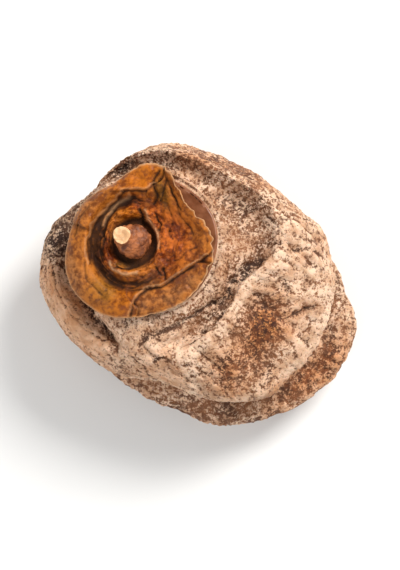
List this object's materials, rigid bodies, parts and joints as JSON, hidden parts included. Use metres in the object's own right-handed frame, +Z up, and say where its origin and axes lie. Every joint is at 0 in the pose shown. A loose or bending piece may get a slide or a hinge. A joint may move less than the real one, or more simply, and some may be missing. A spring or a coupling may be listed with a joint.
{
  "type": "dried persimmon",
  "caption": "Peeled persimmon dried whole: folded, sugar-dusted flesh under a cup-shaped dried calyx with a cut stalk end.",
  "frame": {"origin": "centre of the bounding box in plan, on the surface that the fruit lies on", "axes": "+Z up, from the sole towards the calyx; +X along the long side, away from the calyx; +Y across"},
  "size_m": [0.0594, 0.0532, 0.0341],
  "materials": {
    "flesh": "matt, brown flesh under a pale powdery sugar bloom",
    "skin": "smooth dried peel, satin",
    "calyx": "leathery dried sepals, satin",
    "stem": "dry woody stalk with a pale cut end"
  },
  "bodies": {
    "root": {"flesh": "flesh", "skin_collar": "skin", "calyx": "calyx", "stem_stub": "stem"}
  },
  "joints": []
}
